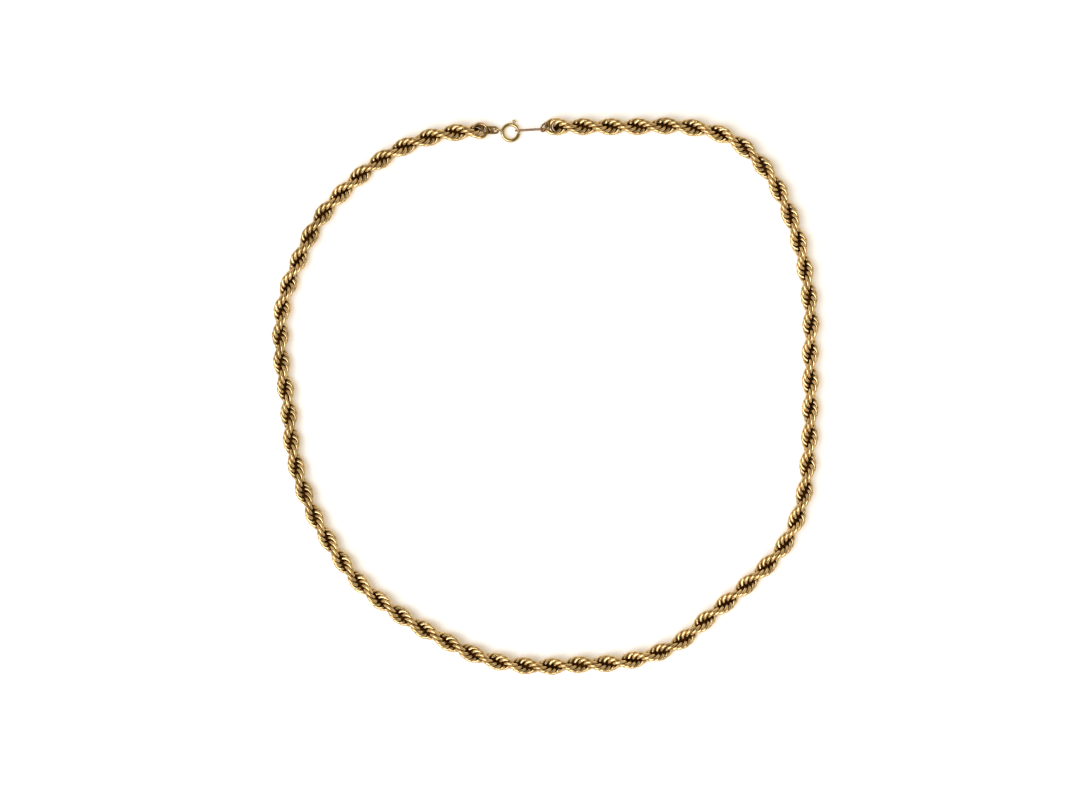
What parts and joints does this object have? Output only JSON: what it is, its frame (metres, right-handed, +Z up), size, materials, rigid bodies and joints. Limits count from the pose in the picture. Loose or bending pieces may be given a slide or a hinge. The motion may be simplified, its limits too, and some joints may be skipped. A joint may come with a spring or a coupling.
{
  "type": "rope chain necklace",
  "caption": "Rope chain necklace of interlocked open links in a twisted double helix, closed by a spring ring hooked on a long jump ring, lying flat.",
  "frame": {"origin": "middle of the necklace's outline seen from above, on the surface that it lies on", "axes": "+Z up from the surface, +Y from the front of the neck towards the clasp, +X across the neck"},
  "size_m": [0.1588, 0.1618, 0.0051],
  "materials": {
    "rope_gold": "polished yellow gold, worn, dark in the grooves between the links",
    "clasp_gold": "polished pale yellow gold"
  },
  "bodies": {
    "root": {"rope_chain": "rope_gold", "left_end_ring": "rope_gold", "right_end_ring": "rope_gold", "spring_ring": "clasp_gold", "jump_ring": "clasp_gold"},
    "sliding_bolt": {"bolt": "clasp_gold"}
  },
  "joints": [
    {"name": "bolt_turn", "type": "hinge", "parent": "root", "child": "sliding_bolt", "pos_m": [-0.01019, 0.07658, 0.0012], "axis": [0, 0, 1], "range_deg": [0, 51], "stiffness_Nm_per_rad": 0.0015}
  ]
}
